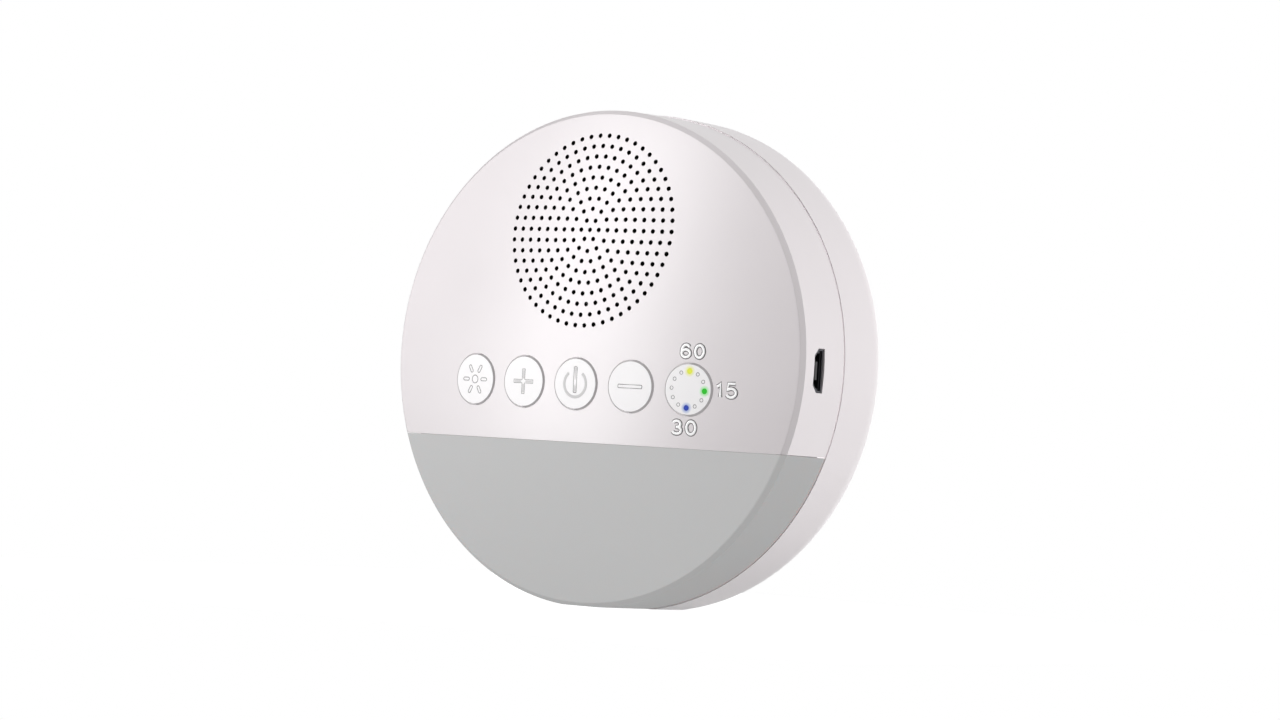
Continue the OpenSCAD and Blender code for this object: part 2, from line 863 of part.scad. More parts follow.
module timer_key() {
    key_cap(2);
}

// A lamp window: a clear guide from the timer key's face back towards its lamp.
module timer_window(turn) {
    x = 2 * key_pitch;
    rim_back = dome_in(x, key_z) + key_play + key_rim_t;
    in_drum() intersection() {
        bar(window_d / 2, apex_y - key_proud - over, rim_back,
            x + window_ring_r * cos(turn), key_z + window_ring_r * sin(turn));
        dome_ball(dome_radius + key_proud);
    }
}
module timer_window_60() {
    color("yellow") timer_window(window_turns[0]);
}
module timer_window_15() {
    color("limegreen") timer_window(window_turns[1]);
}
module timer_window_30() {
    color("royalblue") timer_window(window_turns[2]);
}

// The plunger of a push switch.
module plunger(i) {
    color("#303030") in_drum()
        bar(plunger_r, tip_y, plunger_back_y, i * key_pitch, key_z);
}
module light_plunger() {
    plunger(-2);
}
module volume_up_plunger() {
    plunger(-1);
}
module power_plunger() {
    plunger(0);
}
module volume_down_plunger() {
    plunger(1);
}
module timer_plunger() {
    plunger(2);
}

// The five switch bodies, each with a well for its plunger.
module switch_cases() {
    half = switch_w / 2;
    low_y = board_front - case_h + cover_t;
    color("#262626") in_drum()
        for (i = KEYS) difference() {
            block([i * key_pitch - half, low_y, key_z - half],
                [i * key_pitch + half, board_front, key_z + half]);
            bar(plunger_r + plunger_gap, low_y - over,
                plunger_back_y + key_travel + plunger_gap, i * key_pitch, key_z);
        }
}

// The steel covers clipped on the switch bodies.
module switch_covers() {
    half = switch_w / 2;
    low_y = board_front - case_h;
    color("silver") in_drum()
        for (i = KEYS) difference() {
            block([i * key_pitch - half, low_y, key_z - half],
                [i * key_pitch + half, low_y + cover_t, key_z + half]);
            bar(plunger_r + plunger_gap, low_y - over, low_y + over, i * key_pitch, key_z);
        }
}

// ---- Electronics ----

module main_board() {
    color("darkgreen") in_drum() difference() {
        intersection() {
            union() {
                block([-board_half, board_front, board_low_z],
                    [board_half, board_back, board_top_z]);
                block([board_tab_x, board_front, board_low_z],
                    [drum_r, board_back, board_tab_z]);
            }
            bar(inner_r - board_edge_gap, board_front - over, board_back + over);
        }
        for (p = BOARD_SCREWS)
            bar(small_screw_d / 2 + screw_hole_gap, board_front - over, board_back + over,
                p[0], p[1]);
    }
}

module board_screws() {
    color("silver") in_drum()
        for (p = BOARD_SCREWS)
            screw(small_screw_d - 2 * thread_gap, small_head_r, small_head_h,
                small_screw_len, p[0], p[1], board_back);
}

// A block that stands on the back of the main board.
module on_board(x, z, size) {
    block([x - size[0] / 2, board_back, z - size[2] / 2],
        [x + size[0] / 2, board_back + size[1], z + size[2] / 2]);
}

// Controller, sound memory and amplifier.
module control_chips() {
    color("#1c1c1e") in_drum() {
        on_board(controller_x, key_z - 1, controller);
        on_board(amplifier_x, key_z + 2, amplifier);
        on_board(memory_x, key_z - 3, memory);
    }
}

module board_capacitors() {
    can_d = 5;
    can_h = 5.2;
    left_in = 10.5;
    right_in = 14;
    color("silver") in_drum()
        for (x = [-board_half + left_in, board_half - right_in])
            bar(can_d / 2, board_back, board_back + can_h,
                x, board_low_z + can_d / 2 + board_edge_gap);
}

// The three lamps behind the timer key's windows.
module timer_leds() {
    long = 1.6;
    short = 0.8;
    h = 0.6;
    color("ivory") in_drum()
        for (turn = window_turns)
            translate([2 * key_pitch, board_front - h, key_z]) rotate([0, -turn, 0])
                translate([window_ring_r + 0.1, 0, -long / 2]) cube([short, h, long]);
}

// The charging socket: a folded steel shell whose flared mouth fills the port, its
// plastic tongue and five contacts.
module usb_shell() {
    mouth_w = port_w - 2 * mouth_play;
    mouth_h = port_h - 2 * mouth_play;
    color("#4a4a4e") in_drum() difference() {
        union() {
            port_bar(socket_w, socket_h, port_chamfer,
                socket_mouth - socket_len, socket_mouth);
            port_bar(mouth_w, mouth_h, port_chamfer, socket_mouth - mouth_len, socket_mouth);
        }
        port_bar(socket_w - 2 * socket_t, socket_h - 2 * socket_t, port_chamfer - 0.1,
            socket_mouth - socket_len + socket_back_t, socket_mouth + over);
        port_bar(mouth_w - 2 * mouth_rim, mouth_h - 2 * mouth_rim, port_chamfer,
            socket_mouth - flare_len, socket_mouth + over);
    }
}
module usb_tongue() {
    w = socket_w * 0.48;
    color("#1a1a1a") in_drum()
        block([socket_mouth - socket_len + socket_back_t, port_y + contact_t, port_z - w / 2],
            [socket_mouth - 0.7, port_y + contact_t + tongue_t, port_z + w / 2]);
}
module usb_contacts() {
    contact_pitch = 0.65;
    contact_w = 0.3;
    color("gold") in_drum()
        for (i = [-2 : 2])
            translate([0, port_y, port_z + i * contact_pitch])
                block([socket_mouth - socket_len + socket_back_t, 0, -contact_w / 2],
                    [socket_mouth - 1, contact_t, contact_w / 2]);
}

// Sockets for the speaker's and the battery's leads, and the plugs in them.
module lead_sockets() {
    color("ivory") in_drum()
        for (x = socket_at) difference() {
            on_board(x, socket_top_z - socket_size[2] / 2, socket_size);
            block([x - socket_in[0] / 2, plug_y - socket_in[1] / 2,
                    socket_top_z - socket_in[2]],
                [x + socket_in[0] / 2, plug_y + socket_in[1] / 2, socket_top_z + over]);
        }
}
module lead_plugs() {
    play = 0.1;
    color("white") in_drum()
        for (x = socket_at)
            block([x - socket_in[0] / 2 + play, plug_y - socket_in[1] / 2 + play,
                    socket_top_z - socket_in[2]],
                [x + socket_in[0] / 2 - play, plug_y + socket_in[1] / 2 - play,
                    socket_top_z + plug_up]);
}

// ---- Night light ----

module light_board() {
    color("white") in_drum() difference() {
        block([-light_board_w / 2, lamp_y, lamp_z - light_board_h / 2],
            [light_board_w / 2, lamp_y + board_t, lamp_z + light_board_h / 2]);
        for (side = [-1, 1])
            bar(small_screw_d / 2 + screw_hole_gap, lamp_y - over, lamp_y + board_t + over,
                side * lamp_post_x, lamp_z);
    }
}

module light_board_leds() {
    span = 2 * (lamp_post_x - lamp_post_r - led_w / 2);
    color("lightyellow") in_drum()
        for (i = [0 : light_leds - 1])
            let (x = light_leds == 1 ? 0 : -span / 2 + i * span / (light_leds - 1))
                block([x - led_w / 2, lamp_y - led_t, lamp_z - led_h / 2],
                    [x + led_w / 2, lamp_y, lamp_z + led_h / 2]);
}

// These two enter the lamp board from the front.
module light_board_screws() {
    color("silver") in_drum() translate([0, 2 * lamp_y, 0]) mirror([0, 1, 0])
        for (side = [-1, 1])
            screw(small_screw_d - 2 * thread_gap, small_head_r, small_head_h,
                small_screw_len, side * lamp_post_x, lamp_z, lamp_y);
}

// ---- Battery ----

module along_cell(from_x, to_x) {
    translate([from_x, cell_y, cell_z]) rotate([0, 90, 0])
        linear_extrude(height = to_x - from_x) children();
}
module battery_cell() {
    nub_d = 5.4;
    color("silver") in_drum() {
        along_cell(-cell_len / 2, cell_len / 2 - 1) circle(r = cell_r);
        along_cell(cell_len / 2 - 2, cell_len / 2) circle(d = nub_d);
    }
}
module battery_sleeve() {
    color("steelblue") in_drum() along_cell(-cell_len / 2, cell_len / 2 - 1)
        difference() {
            circle(r = cell_r + sleeve_t);
            circle(r = cell_r);
        }
}
module battery_tabs() {
    tab_w = 5;
    color("lightgray") in_drum()
        for (x = [-cell_len / 2 - tab_t, cell_len / 2])
            block([x, cell_y - tab_w, cell_z - tab_w / 2],
                [x + tab_t, cell_y + tab_w / 2, cell_z + tab_w / 2]);
}

// The cell's protection board, on the tab of its flat end.
module battery_board() {
    half = cell_r * 0.6;
    color("darkgreen") in_drum()
        block([-cell_len / 2 - tab_t - guard_t, cell_y - half, cell_z - half],
            [-cell_len / 2 - tab_t, cell_y + half, cell_z + half]);
}
module battery_pad() {
    half_w = saddle_x - saddle_t / 2 - 1;
    half_h = 3;
    color("dimgray") in_drum()
        block([-half_w, back_in_y - pad_t, cell_z - half_h],
            [half_w, back_in_y, cell_z + half_h]);
}

// ---- Leads ----

// Routes run in the drum's frame, each from where it leaves to where it lands.
function speaker_route(side) =
    let (x = socket_at[0] + side * lead_gap / 2)
    concat([[x, plug_top[0], plug_top[1]]],
        curve([[x, plug_top[0], plug_top[1] + lead_straight],
            [x, plug_top[0] + speaker_bow[0][0], plug_top[1] + speaker_bow[0][1]],
            [side * lug_x, lug_y + speaker_bow[1][0], lug_z + speaker_bow[1][1]],
            [side * lug_x, lug_y + lead_straight, lug_z]], lead_steps),
        [[side * lug_x, lug_y, lug_z]]);
function battery_route(side) =
    let (x = socket_at[1] + side * lead_gap / 2,
        end_x = -cell_len / 2 - tab_t - guard_t, end_y = cell_y - 1 + side)
    concat([[x, plug_top[0], plug_top[1]]],
        curve([[x, plug_top[0], plug_top[1] + lead_straight],
            [x, plug_top[0] + battery_bow[0][0], plug_top[1] + battery_bow[0][1]],
            [end_x - battery_bow_out, end_y + battery_bow[1][0], cell_z + battery_bow[1][1]],
            [end_x - lead_straight, end_y, cell_z + side]], lead_steps),
        [[end_x, end_y, cell_z + side]]);
function lamp_route(side) =
    let (x = lamp_pad[0] + side * lead_gap / 2, z = board_low_z + lamp_pad[1],
        back = lamp_y + board_t)
    concat([[x, board_back, z]],
        curve([[x, board_back + lead_straight, z],
            [x, back + lamp_bow[0][0], z + lamp_bow[0][1]],
            [x - lamp_side[0], back + lamp_bow[1][0], web_z + lamp_bow[1][1]],
            [x - lamp_side[1], back + lead_straight, lamp_land_z]], lead_steps),
        [[x - lamp_side[1], back, lamp_land_z]]);
module speaker_leads() {
    color("firebrick") in_drum()
        for (side = [-1, 1]) lead(speaker_route(side), lead_d);
}
module battery_leads() {
    color("firebrick") in_drum()
        for (side = [-1, 1]) lead(battery_route(side), lead_d);
}
module light_leads() {
    color("ivory") in_drum()
        for (side = [-1, 1]) lead(lamp_route(side), lead_d);
}

// ---- Parts to draw ----

front_shell();
light_diffuser();
rear_cover();
case_screws();
grille_cloth();
speaker_gasket();
speaker_basket();
speaker_top_plate();
speaker_magnet();
speaker_yoke();
speaker_spider();
speaker_surround();
speaker_cone();
speaker_dust_cap();
voice_coil();
speaker_terminals();
speaker_screws();
light_key();
volume_up_key();
power_key();
volume_down_key();
timer_key();
timer_window_60();
timer_window_15();
timer_window_30();
light_plunger();
volume_up_plunger();
power_plunger();
volume_down_plunger();
timer_plunger();
switch_cases();
switch_covers();
main_board();
board_screws();
control_chips();
board_capacitors();
timer_leds();
usb_shell();
usb_tongue();
usb_contacts();
lead_sockets();
lead_plugs();
light_board();
light_board_leds();
light_board_screws();
battery_cell();
battery_sleeve();
battery_tabs();
battery_board();
battery_pad();
speaker_leads();
battery_leads();
light_leads();
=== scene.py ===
import math

import bpy
from mathutils import Matrix, Vector


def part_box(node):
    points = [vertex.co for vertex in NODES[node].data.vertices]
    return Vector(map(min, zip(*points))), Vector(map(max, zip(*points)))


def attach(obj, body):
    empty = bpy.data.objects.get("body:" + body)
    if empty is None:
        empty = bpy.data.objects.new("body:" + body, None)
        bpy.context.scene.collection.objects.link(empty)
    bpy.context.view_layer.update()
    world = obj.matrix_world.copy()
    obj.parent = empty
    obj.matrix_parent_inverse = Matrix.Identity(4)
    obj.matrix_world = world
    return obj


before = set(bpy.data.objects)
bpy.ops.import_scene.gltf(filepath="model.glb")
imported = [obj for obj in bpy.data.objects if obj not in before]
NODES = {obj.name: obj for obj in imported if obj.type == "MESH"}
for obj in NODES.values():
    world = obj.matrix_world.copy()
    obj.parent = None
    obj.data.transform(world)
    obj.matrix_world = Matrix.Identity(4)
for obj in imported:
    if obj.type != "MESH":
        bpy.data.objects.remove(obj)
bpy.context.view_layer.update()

# The looks of a round bedside sound machine: its mouldings, key marks, timer lamps,
# inner parts, studio and camera. Lengths are metres, but names that end in _MM and the
# outlines of the marks are millimetres.

MM = 0.001

# ---- Places, read from the frame ----

# Lengths that the frame's boxes don't give.
RIM_TO_BACK_MM = 30.65
RIM_TO_SEAM_MM = 13.2
DOME_R_MM = 220
KEY_PROUD_MM = 0.3

cover_low, cover_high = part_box("rear_cover")
DRUM_R = (cover_high.x - cover_low.x) / 2
AXIS_Z = cover_high.z - DRUM_R
RIM_Y = cover_high.y - RIM_TO_BACK_MM * MM
SEAM_Y = RIM_Y + RIM_TO_SEAM_MM * MM
DOME_R = DOME_R_MM * MM
DOME_MIDDLE_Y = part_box("front_shell")[0].y + DOME_R
KEY_FACE_R = DOME_R + KEY_PROUD_MM * MM

PLAIN_KEYS = ("light_key", "volume_up_key", "power_key", "volume_down_key")
KEYS = PLAIN_KEYS + ("timer_key",)


def middle(node):
    """Where a node's middle lies across the front: (x, z)."""
    low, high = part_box(node)
    return (low.x + high.x) / 2, (low.z + high.z) / 2


# ---- Shader tools ----

def linear(colour):
    """An sRGB hex colour as the linear RGBA that shaders take."""
    channels = [int(colour[i:i + 2], 16) / 255 for i in (1, 3, 5)]
    return tuple(c / 12.92 if c <= 0.04045 else ((c + 0.055) / 1.055) ** 2.4
                 for c in channels) + (1.0,)


def add(tree, kind, inputs=None, **settings):
    """Adds a node with its settings, and sets or links its inputs."""
    node = tree.nodes.new("ShaderNode" + kind)
    for name, value in settings.items():
        setattr(node, name, value)
    for name, value in (inputs or {}).items():
        if isinstance(value, bpy.types.NodeSocket):
            tree.links.new(value, node.inputs[name])
        else:
            node.inputs[name].default_value = value
    return node


def base_finish(name, colour, roughness, **constants):
    """Starts a material: constants go straight on the shader's own sockets."""
    material = bpy.data.materials.new(name)
    material.use_nodes = True
    tree = material.node_tree
    shader = tree.nodes["Principled BSDF"]
    shader.inputs["Base Color"].default_value = linear(colour)
    shader.inputs["Roughness"].default_value = roughness
    for socket, value in constants.items():
        shader.inputs[socket.replace("_", " ")].default_value = value
    place = add(tree, "TexCoord").outputs["Object"]
    return material, tree, shader, place


def across(tree, place, x, z):
    """How far a point lies from a line along the drum's axis."""
    flat = add(tree, "VectorMath", {0: place, 1: (1.0, 0.0, 1.0)}, operation="MULTIPLY")
    away = add(tree, "VectorMath", {0: flat.outputs[0], 1: (x, 0.0, z)},
               operation="DISTANCE")
    return away.outputs["Value"]


def per_mm(size_mm):
    """The scale of a pattern whose features are this many millimetres."""
    return 1 / (size_mm * MM)


def per_band(pitch_mm):
    """The scale of a wave texture whose bands are this many millimetres apart."""
    radians_a_unit = 20
    return per_mm(pitch_mm) * 2 * math.pi / radians_a_unit


def relief(tree, shader, height, depth_mm, edge_mm=0.0):
    """Gives the surface a relief of a real depth, over softly rounded edges."""
    bump = add(tree, "Bump", {"Height": height, "Distance": depth_mm * MM, "Strength": 1.0})
    if edge_mm:
        edge = add(tree, "Bevel", {"Radius": edge_mm * MM}, samples=6)
        tree.links.new(edge.outputs["Normal"], bump.inputs["Normal"])
    tree.links.new(bump.outputs["Normal"], shader.inputs["Normal"])


def spread(tree, pattern, low, high, target):
    """Stretches a 0 to 1 pattern between two values and links it."""
    ramp = add(tree, "MapRange", {"Value": pattern, "To Min": low, "To Max": high})
    tree.links.new(ramp.outputs["Result"], target)


def tones(tree, pattern, low, high, shader):
    """Colours the surface between two tones by a 0 to 1 pattern."""
    ramp = add(tree, "ValToRGB", {"Fac": pattern})
    ramp.color_ramp.elements[0].color = linear(low)
    ramp.color_ramp.elements[1].color = linear(high)
    tree.links.new(ramp.outputs["Color"], shader.inputs["Base Color"])


def coat(tree, shader, share, colour):
    """Lays a second colour over the base colour where a 0 to 1 share says."""
    base = shader.inputs["Base Color"]
    mixed = add(tree, "Mix", {0: share, 6: base.links[0].from_socket, 7: linear(colour)},
                data_type="RGBA")
    tree.links.new(mixed.outputs[2], base)


def painted_glow(tree, shader, share, strength):
    """Paints a glow where a share says, so that a narrow gap isn't black."""
    target = shader.inputs["Emission Strength"]
    shader.inputs["Emission Color"].default_value = linear("#FFFAFC")
    glow = add(tree, "Math", {0: share, 1: strength, 2: 0.0}, operation="MULTIPLY_ADD")
    if target.links:
        tree.links.new(target.links[0].from_socket, glow.inputs[2])
    tree.links.new(glow.outputs[0], target)


# ---- Finishes of the housing and keys ----

# Where the painted shade and painted glow change, in millimetres: round the grille's middle
# and the keys' middles, under the dome's face, inside a key's edge, and in the seam.
GRILLE_R_MM = 20.0
KEY_R_MM = 4.95
KEY_HOLE_R_MM = 5.4
FACE_ENDS_MM = (0.02, 0.08)
KEY_FACE_ENDS_MM = (0.06, 0.02)
SEAM_HALF_MM = 0.15
SEAM_UNDER_MM = 0.23

# How brightly a painted glow lights the seam, the key holes, the key edges and the diffuser,
# in place of light that soaks into thin walls and comes out again.
SEAM_PAINTED_GLOW = 0.85
KEY_HOLE_PAINTED_GLOW = 0.4
KEY_EDGE_PAINTED_GLOW = 0.25
DIFFUSER_FRONT_PAINTED_GLOW = 0.335
DIFFUSER_SIDE_PAINTED_GLOW = 0.215

# Each lamp's tone in its middle and at its rim, and the tint that it gives the key.
LAMP_TONES = {"timer_window_60": ("#DEE545", "#D6DE3A"),
              "timer_window_15": ("#18BA18", "#14B414"),
              "timer_window_30": ("#0A3CB4", "#082C96")}
HALO_TONES = {"timer_window_60": "#F0F098",
              "timer_window_15": "#A4EEA3",
              "timer_window_30": "#A1B2DE"}
LAMP_R_MM = 0.55
HALO_IN_MM = 0.6
HALO_OUT_MM = 1.2


def gloss_abs(name="gloss_abs"):
    """Injection-moulded ABS, polished tool: white, satin gloss, faint orange peel."""
    material, tree, shader, place = base_finish(name, "#E6E0E2", 0.34, IOR=1.54)
    flow = add(tree, "TexNoise", {"Vector": place, "Scale": per_mm(14), "Detail": 2.0})
    peel = add(tree, "TexNoise", {"Vector": place, "Scale": per_mm(0.9), "Detail": 3.0})
    spread(tree, flow.outputs["Fac"], 0.26, 0.32, shader.inputs["Roughness"])
    tones(tree, flow.outputs["Fac"], "#E5DFE1", "#E7E1E3", shader)
    relief(tree, shader, peel.outputs["Fac"], 0.002, 0.08)
    # The seam: a narrow gap whose walls, just under the drum's side, get a painted glow so
    # that the gap isn't black.
    parts = add(tree, "SeparateXYZ", {0: place})
    near = add(tree, "Math", {0: parts.outputs["Y"], 1: SEAM_Y, 2: SEAM_HALF_MM * MM},
               operation="COMPARE")
    under = add(tree, "Math", {0: across(tree, place, 0.0, AXIS_Z),
                               1: DRUM_R - SEAM_UNDER_MM * MM}, operation="LESS_THAN")
    seam = add(tree, "Math", {0: near.outputs[0], 1: under.outputs[0]},
               operation="MULTIPLY")
    painted_glow(tree, shader, seam.outputs[0], SEAM_PAINTED_GLOW)
    return material, tree, shader, place


def shell_abs_painted_shade():
    """The shell's ABS with painted shade: near black inside the grille's holes, grey on the
    key holes' walls.
    """
    material, tree, shader, place = gloss_abs("shell_abs_painted_shade")
    dome_middle = (0.0, DOME_MIDDLE_Y, AXIS_Z)
    out_to = add(tree, "VectorMath", {0: place, 1: dome_middle}, operation="DISTANCE")
    face_from, face_to = FACE_ENDS_MM
    inside = add(tree, "MapRange", {
        "Value": out_to.outputs["Value"], "From Min": DOME_R - face_to * MM,
        "From Max": DOME_R - face_from * MM, "To Min": 1.0, "To Max": 0.0})
    # Painted shade: the grille's holes are near black inside, where their white walls would
    # lie in shade.
    by_grille = add(tree, "Math", {0: across(tree, place, *middle("grille_cloth")),
                                   1: GRILLE_R_MM * MM}, operation="LESS_THAN")
    grille_hole_shade = add(tree, "Math", {0: inside.outputs["Result"], 1: by_grille.outputs[0]},
                  operation="MULTIPLY")
    coat(tree, shader, grille_hole_shade.outputs[0], "#0E0E0E")
    # Painted shade: the key holes' walls are grey, with a faint painted glow, so the gap
    # round each key reads as an even grey line.
    nearest = 1.0
    for key in KEYS:
        closer = add(tree, "Math", {0: across(tree, place, *middle(key)), 1: nearest},
                     operation="MINIMUM")
        nearest = closer.outputs[0]
    by_key = add(tree, "Math", {0: nearest, 1: KEY_HOLE_R_MM * MM}, operation="LESS_THAN")
    painted_wall_shade = add(tree, "Math", {0: inside.outputs["Result"], 1: by_key.outputs[0]},
               operation="MULTIPLY")
    coat(tree, shader, painted_wall_shade.outputs[0], "#7D797B")
    painted_glow(tree, shader, painted_wall_shade.outputs[0], KEY_HOLE_PAINTED_GLOW)
    # On the dome itself the shading follows the sphere, not the mesh's facets.
    bump = shader.inputs["Normal"].links[0].from_node
    outwards = add(tree, "VectorMath", {0: place, 1: dome_middle}, operation="SUBTRACT")
    dome_normal = add(tree, "VectorMath", {0: outwards.outputs[0]}, operation="NORMALIZE")
    smooth = add(tree, "Mix", {0: inside.outputs["Result"], 4: dome_normal.outputs[0],
                               5: bump.inputs["Normal"].links[0].from_socket},
                 data_type="VECTOR")
    tree.links.new(smooth.outputs[1], bump.inputs["Normal"])
    return material


def key_abs(key, name):
    """Moulded ABS from a spark-eroded tool: silky white face; its edge is painted dark grey
    as shade, with a faint painted glow.
    """
    material, tree, shader, place = base_finish(name, "#F8F6F7", 0.42, IOR=1.54)
    grain = add(tree, "TexNoise", {"Vector": place, "Scale": per_mm(0.22), "Detail": 4.0})
    spread(tree, grain.outputs["Fac"], 0.38, 0.47, shader.inputs["Roughness"])
    tones(tree, grain.outputs["Fac"], "#F8F6F7", "#FBF9FA", shader)
    relief(tree, shader, grain.outputs["Fac"], 0.003, 0.1)
    # Painted shade: a dark grey band at the key's edge, with a faint painted glow.
    face_to, wall_from = KEY_FACE_ENDS_MM
    painted_wall_shade = add(tree, "MapRange", {
        "Value": across(tree, place, *middle(key)),
        "From Min": (KEY_R_MM - face_to) * MM, "From Max": (KEY_R_MM - wall_from) * MM})
    coat(tree, shader, painted_wall_shade.outputs["Result"], "#5A5758")
    painted_glow(tree, shader, painted_wall_shade.outputs["Result"], KEY_EDGE_PAINTED_GLOW)
    return material, tree, shader, place


def lit_key_abs():
    """The timer key's ABS: light from each lamp tints it in a small soft ring."""
    material, tree, shader, place = key_abs("timer_key", "lit_key_abs")
    for window, halo in HALO_TONES.items():
        near = add(tree, "MapRange", {
            "Value": across(tree, place, *middle(window)), "From Min": HALO_IN_MM * MM,
            "From Max": HALO_OUT_MM * MM, "To Min": 1.0, "To Max": 0.0})
        coat(tree, shader, near.outputs["Result"], halo)
    return material


def milky_polycarbonate():
    """Diffusing polycarbonate, with a painted glow that evens out its light and shade all
    over.
    """
    material, tree, shader, place = base_finish(
        "milky_polycarbonate", "#777777", 0.7, IOR=1.58, Subsurface_Weight=0.25,
        Subsurface_Scale=0.002, Specular_IOR_Level=0.35)
    grain = add(tree, "TexNoise", {"Vector": place, "Scale": per_mm(0.3), "Detail": 4.0})
    spread(tree, grain.outputs["Fac"], 0.66, 0.76, shader.inputs["Roughness"])
    relief(tree, shader, grain.outputs["Fac"], 0.003, 0.15)
    # Painted glow: the front glows more than the side, in place of the light that the white
    # lamp board behind it gives back.
    facing = add(tree, "SeparateXYZ", {0: add(tree, "TexCoord").outputs["Normal"]})
    faces_front, faces_side = -0.9, -0.4
    glow = add(tree, "MapRange", {
        "Value": facing.outputs["Y"], "From Min": faces_front, "From Max": faces_side,
        "To Min": DIFFUSER_FRONT_PAINTED_GLOW, "To Max": DIFFUSER_SIDE_PAINTED_GLOW})
    tree.links.new(glow.outputs["Result"], shader.inputs["Emission Strength"])
    shader.inputs["Emission Color"].default_value = linear("#FFFFFF")
    return material


def lit_acrylic(window, core, rim):
    """Tinted acrylic, lit from behind: hot in the middle, deeper at the rim."""
    material, tree, shader, place = base_finish(
        "lit_acrylic_" + window, "#080808", 0.3, IOR=1.49, Specular_IOR_Level=0.2)
    ring = add(tree, "MapRange", {"Value": across(tree, place, *middle(window)),
                                  "From Max": LAMP_R_MM * MM})
    ramp = add(tree, "ValToRGB", {"Fac": ring.outputs["Result"]})
    ramp.color_ramp.elements[0].color = linear(core)
    ramp.color_ramp.elements[1].color = linear(rim)
    tree.links.new(ramp.outputs["Color"], shader.inputs["Emission Color"])
    shader.inputs["Emission Strength"].default_value = 1.0
    return material


def painted_mark_shade(name="painted_mark_shade", low="#7B7879", high="#878485"):
    """Grey painted shade for engraved lines and edges: a flat, slightly rough film."""
    material, tree, shader, place = base_finish(name, high, 0.6)
    grain = add(tree, "TexNoise", {"Vector": place, "Scale": per_mm(0.1), "Detail": 3.0})
    tones(tree, grain.outputs["Fac"], low, high, shader)
    relief(tree, shader, grain.outputs["Fac"], 0.001)
    return material


def numeral_print_painted_glow():
    """Thick white screen print: it stands up from the shell, and a painted glow makes it
    whiter than all round it.
    """
    # Painted glow: the white numerals glow a little.
    material, tree, shader, place = base_finish(
        "numeral_print_painted_glow", "#FFFFFF", 0.35, Emission_Color=linear("#FFFFFF"),
        Emission_Strength=0.12)
    grain = add(tree, "TexNoise", {"Vector": place, "Scale": per_mm(0.15), "Detail": 2.0})
    relief(tree, shader, grain.outputs["Fac"], 0.002)
    return material


# ---- Finishes of the parts inside ----

def zinc_steel(name="zinc_steel", colour="#BFC1C4", roughness=0.36):
    """Zinc-plated steel: cool grey with the plating's faint bright and dull patches."""
    material, tree, shader, place = base_finish(name, colour, roughness, Metallic=1.0)
    patches = add(tree, "TexNoise", {"Vector": place, "Scale": per_mm(1.6), "Detail": 4.0})
    spread(tree, patches.outputs["Fac"], roughness - 0.1, roughness + 0.12,
           shader.inputs["Roughness"])
    relief(tree, shader, patches.outputs["Fac"], 0.004, 0.08)
    return material


def speaker_mesh():
    """Black woven polyester: threads 0.35 mm apart that cross over and under."""
    material, tree, shader, place = base_finish("speaker_mesh", "#1B1B1C", 0.8)
    warp = add(tree, "TexWave", {"Vector": place, "Scale": per_band(0.35)},
               bands_direction="X")
    weft = add(tree, "TexWave", {"Vector": place, "Scale": per_band(0.35)},
               bands_direction="Z")
    weave = add(tree, "Math", {0: warp.outputs["Fac"], 1: weft.outputs["Fac"]},
                operation="MULTIPLY")
    tones(tree, weave.outputs[0], "#0A0A0A", "#38383A", shader)
    relief(tree, shader, weave.outputs[0], 0.08)
    return material


def foam():
    """Closed-cell foam: dark grey, open pinholes, no gloss."""
    material, tree, shader, place = base_finish("foam", "#3A3A3C", 0.95)
    cells = add(tree, "TexVoronoi", {"Vector": place, "Scale": per_mm(0.4)})
    tones(tree, cells.outputs["Distance"], "#242425", "#4A4A4C", shader)
    relief(tree, shader, cells.outputs["Distance"], 0.1)
    return material


def ferrite():
    """Sintered and ground ferrite: near black, dull, with fine pits."""
    material, tree, shader, place = base_finish("ferrite", "#2C2B2D", 0.62)
    pits = add(tree, "TexNoise", {"Vector": place, "Scale": per_mm(0.25), "Detail": 6.0})
    tones(tree, pits.outputs["Fac"], "#1E1D1F", "#3B393B", shader)
    relief(tree, shader, pits.outputs["Fac"], 0.02, 0.15)
    return material


def dipped_cloth():
    """Resin-dipped cotton: amber, open weave with threads 0.5 mm apart."""
    material, tree, shader, place = base_finish("dipped_cloth", "#B98A35", 0.55)
    warp = add(tree, "TexWave", {"Vector": place, "Scale": per_band(0.5)},
               bands_direction="X")
    weft = add(tree, "TexWave", {"Vector": place, "Scale": per_band(0.5)},
               bands_direction="Z")
    weave = add(tree, "Math", {0: warp.outputs["Fac"], 1: weft.outputs["Fac"]},
                operation="MAXIMUM")
    tones(tree, weave.outputs[0], "#8A6120", "#C99B45", shader)
    relief(tree, shader, weave.outputs[0], 0.06)
    return material


def moulded_rubber():
    """Moulded butyl rubber: black, waxy, fingertip soft."""
    material, tree, shader, place = base_finish("moulded_rubber", "#1E1E1F", 0.58, IOR=1.52)
    bloom = add(tree, "TexNoise", {"Vector": place, "Scale": per_mm(3), "Detail": 5.0})
    spread(tree, bloom.outputs["Fac"], 0.5, 0.68, shader.inputs["Roughness"])
    relief(tree, shader, bloom.outputs["Fac"], 0.01)
    return material


def pressed_paper():
    """Pressed paper pulp: charcoal, short fibres felted every way."""
    material, tree, shader, place = base_finish("pressed_paper", "#39393C", 0.85)
    fibres = add(tree, "TexNoise", {
        "Vector": place, "Scale": per_mm(0.5), "Detail": 8.0, "Roughness": 0.75,
        "Distortion": 1.2})
    tones(tree, fibres.outputs["Fac"], "#29292C", "#4C4C50", shader)
    relief(tree, shader, fibres.outputs["Fac"], 0.03)
    return material


